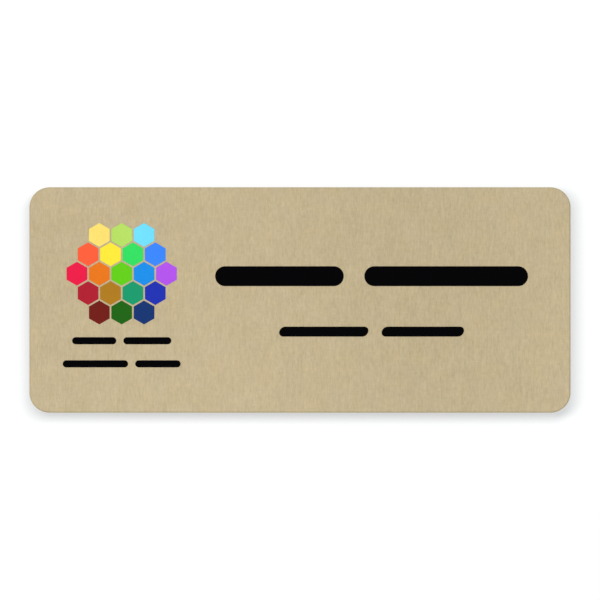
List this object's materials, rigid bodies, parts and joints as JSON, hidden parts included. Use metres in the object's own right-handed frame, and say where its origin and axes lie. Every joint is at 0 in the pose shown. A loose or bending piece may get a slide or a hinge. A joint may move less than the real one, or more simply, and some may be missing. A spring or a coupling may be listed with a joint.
{
  "type": "name badge",
  "caption": "Flat metal name badge in satin gold with round corners, a printed honeycomb emblem, black printed bars and a riveted bar pin on its back.",
  "frame": {"origin": "on the surface that the badge lies on, under the middle of the plate", "axes": "+X along the badge to the right of its face, +Y up its face, +Z out of its face"},
  "size_m": [0.0762, 0.0318, 0.0063],
  "materials": {
    "satin_gold": "satin, fine grain across the badge",
    "nickel_steel": "bright nickel plate",
    "black_ink": "semi-gloss print",
    "ink_1_1": "semi-gloss print, pale yellow",
    "ink_1_2": "semi-gloss print, pale lime",
    "ink_1_3": "semi-gloss print, pale sky blue",
    "ink_2_1": "semi-gloss print, coral",
    "ink_2_2": "semi-gloss print, yellow",
    "ink_2_3": "semi-gloss print, green",
    "ink_2_4": "semi-gloss print, blue",
    "ink_3_1": "semi-gloss print, crimson",
    "ink_3_2": "semi-gloss print, orange",
    "ink_3_3": "semi-gloss print, leaf green",
    "ink_3_4": "semi-gloss print, sky blue",
    "ink_3_5": "semi-gloss print, violet",
    "ink_4_1": "semi-gloss print, deep red",
    "ink_4_2": "semi-gloss print, ochre",
    "ink_4_3": "semi-gloss print, teal",
    "ink_4_4": "semi-gloss print, royal blue",
    "ink_5_1": "semi-gloss print, maroon",
    "ink_5_2": "semi-gloss print, dark green",
    "ink_5_3": "semi-gloss print, navy"
  },
  "bodies": {
    "root": {"badge_plate": "satin_gold", "pin_back": "nickel_steel", "emblem_cell_1_1": "ink_1_1", "emblem_cell_1_2": "ink_1_2", "emblem_cell_1_3": "ink_1_3", "emblem_cell_2_1": "ink_2_1", "emblem_cell_2_2": "ink_2_2", "emblem_cell_2_3": "ink_2_3", "emblem_cell_2_4": "ink_2_4", "emblem_cell_3_1": "ink_3_1", "emblem_cell_3_2": "ink_3_2", "emblem_cell_3_3": "ink_3_3", "emblem_cell_3_4": "ink_3_4", "emblem_cell_3_5": "ink_3_5", "emblem_cell_4_1": "ink_4_1", "emblem_cell_4_2": "ink_4_2", "emblem_cell_4_3": "ink_4_3", "emblem_cell_4_4": "ink_4_4", "emblem_cell_5_1": "ink_5_1", "emblem_cell_5_2": "ink_5_2", "emblem_cell_5_3": "ink_5_3", "caption_upper_bar_1": "black_ink", "caption_upper_bar_2": "black_ink", "caption_lower_bar_1": "black_ink", "caption_lower_bar_2": "black_ink", "name_bar_1": "black_ink", "name_bar_2": "black_ink", "title_bar_1": "black_ink", "title_bar_2": "black_ink"}
  },
  "joints": []
}
